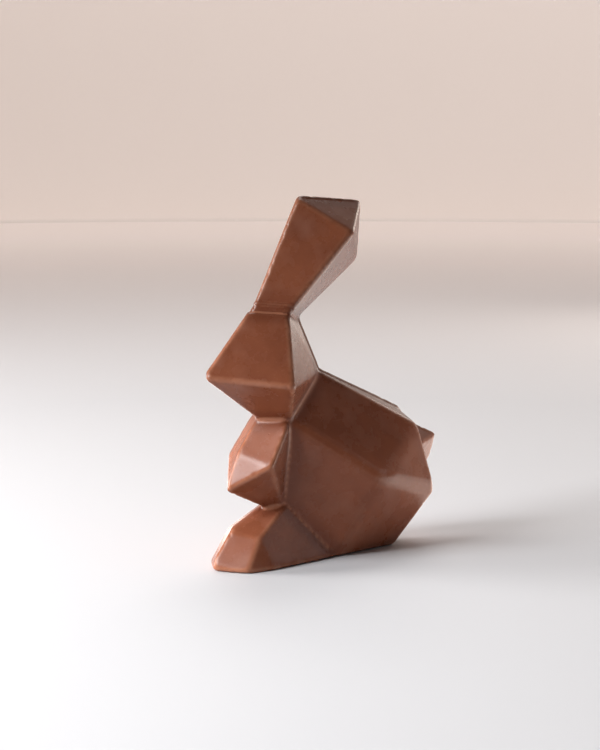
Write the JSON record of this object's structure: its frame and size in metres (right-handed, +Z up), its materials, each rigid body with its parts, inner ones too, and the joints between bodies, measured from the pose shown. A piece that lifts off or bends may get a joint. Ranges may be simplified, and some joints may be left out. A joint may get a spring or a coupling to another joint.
{
  "type": "chocolate bunny",
  "caption": "Sitting rabbit in faceted milk chocolate, with its ears laid together and swept back, a tucked paw wedge and a flat base to stand on.",
  "frame": {"origin": "centre of the bounding box at the base, on the plane it stands on", "axes": "+Z up towards the ears, +X towards the tail, +Y towards the rabbit's right flank"},
  "size_m": [0.1422, 0.0594, 0.171],
  "materials": {
    "milk_chocolate": "tempered milk chocolate, half glossy"
  },
  "bodies": {
    "root": {"bunny": "milk_chocolate"}
  },
  "joints": []
}
